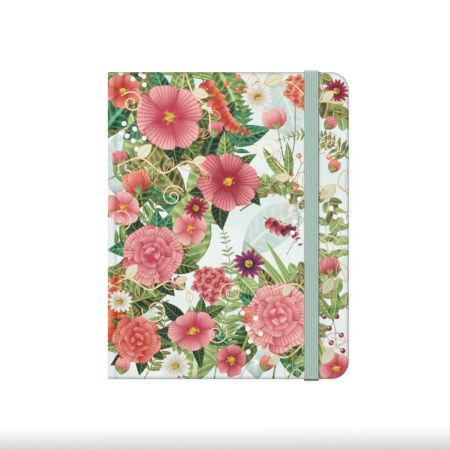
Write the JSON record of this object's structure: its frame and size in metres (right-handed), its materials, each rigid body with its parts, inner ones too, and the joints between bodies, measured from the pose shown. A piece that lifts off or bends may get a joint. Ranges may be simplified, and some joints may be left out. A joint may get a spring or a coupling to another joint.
{
  "type": "hardcover planner",
  "caption": "Case-bound planner with rounded fore corners, sewn leaves, a grooved joint beside the spine and a flat elastic closure upright near the fore edge.",
  "frame": {"origin": "centre of the footprint, on the plane of the back cover's outer face", "axes": "+Z out of the front cover, +Y from tail to head, +X from spine to fore edge"},
  "size_m": [0.165, 0.2126, 0.0205],
  "materials": {
    "printed_wrap": "satin laminate",
    "greyboard": "matte",
    "endpaper": "matte",
    "leaf_paper": "matte",
    "lining_cloth": "matte",
    "band_cloth": "matte",
    "elastic_webbing": "ribbed matte"
  },
  "bodies": {
    "back_cover": {"back_wrap": "printed_wrap", "back_board": "greyboard", "back_pastedown": "endpaper", "elastic_anchor_head": "elastic_webbing", "elastic_anchor_tail": "elastic_webbing", "rear_flyleaf": "endpaper", "rear_spine_lining": "lining_cloth", "rear_head_band": "band_cloth", "rear_tail_band": "band_cloth", "signature_07": "leaf_paper", "signature_08": "leaf_paper", "signature_09": "leaf_paper", "signature_10": "leaf_paper", "signature_11": "leaf_paper", "signature_12": "leaf_paper"},
    "spine": {"spine_wrap": "printed_wrap", "spine_board": "greyboard"},
    "front_cover": {"front_wrap": "printed_wrap", "front_board": "greyboard", "front_pastedown": "endpaper"},
    "front_leaves": {"front_flyleaf": "endpaper", "front_spine_lining": "lining_cloth", "front_head_band": "band_cloth", "front_tail_band": "band_cloth", "signature_01": "leaf_paper", "signature_02": "leaf_paper", "signature_03": "leaf_paper", "signature_04": "leaf_paper", "signature_05": "leaf_paper", "signature_06": "leaf_paper"},
    "closure_band": {"elastic_front_run": "elastic_webbing", "elastic_head_run": "elastic_webbing", "elastic_tail_run": "elastic_webbing"}
  },
  "joints": [
    {"name": "spine_fold", "type": "hinge", "parent": "back_cover", "child": "spine", "pos_m": [-0.0813, 0, 0.0012], "axis": [0, -1, 0], "range_deg": [0, 90]},
    {"name": "front_cover_open", "type": "hinge", "parent": "spine", "child": "front_cover", "pos_m": [-0.0813, 0, 0.01805], "axis": [0, -1, 0], "range_deg": [0, 90]},
    {"name": "leaves_turn", "type": "hinge", "parent": "back_cover", "child": "front_leaves", "pos_m": [-0.07995, 0, 0.00962], "axis": [0, -1, 0], "range_deg": [0, 180]},
    {"name": "elastic_release", "type": "slide", "parent": "back_cover", "child": "closure_band", "axis": [0, 0, -1], "range_m": [0, 0.01925], "deforming": ["elastic_front_run", "elastic_head_run", "elastic_tail_run"]}
  ],
  "couplings": [
    {"joint": "spine_fold", "follows": "front_cover_open", "ratio": 1},
    {"joint": "leaves_turn", "follows": "front_cover_open", "ratio": 2},
    {"joint": "elastic_release", "follows": "front_cover_open", "m_per_rad": 0.01225}
  ]
}
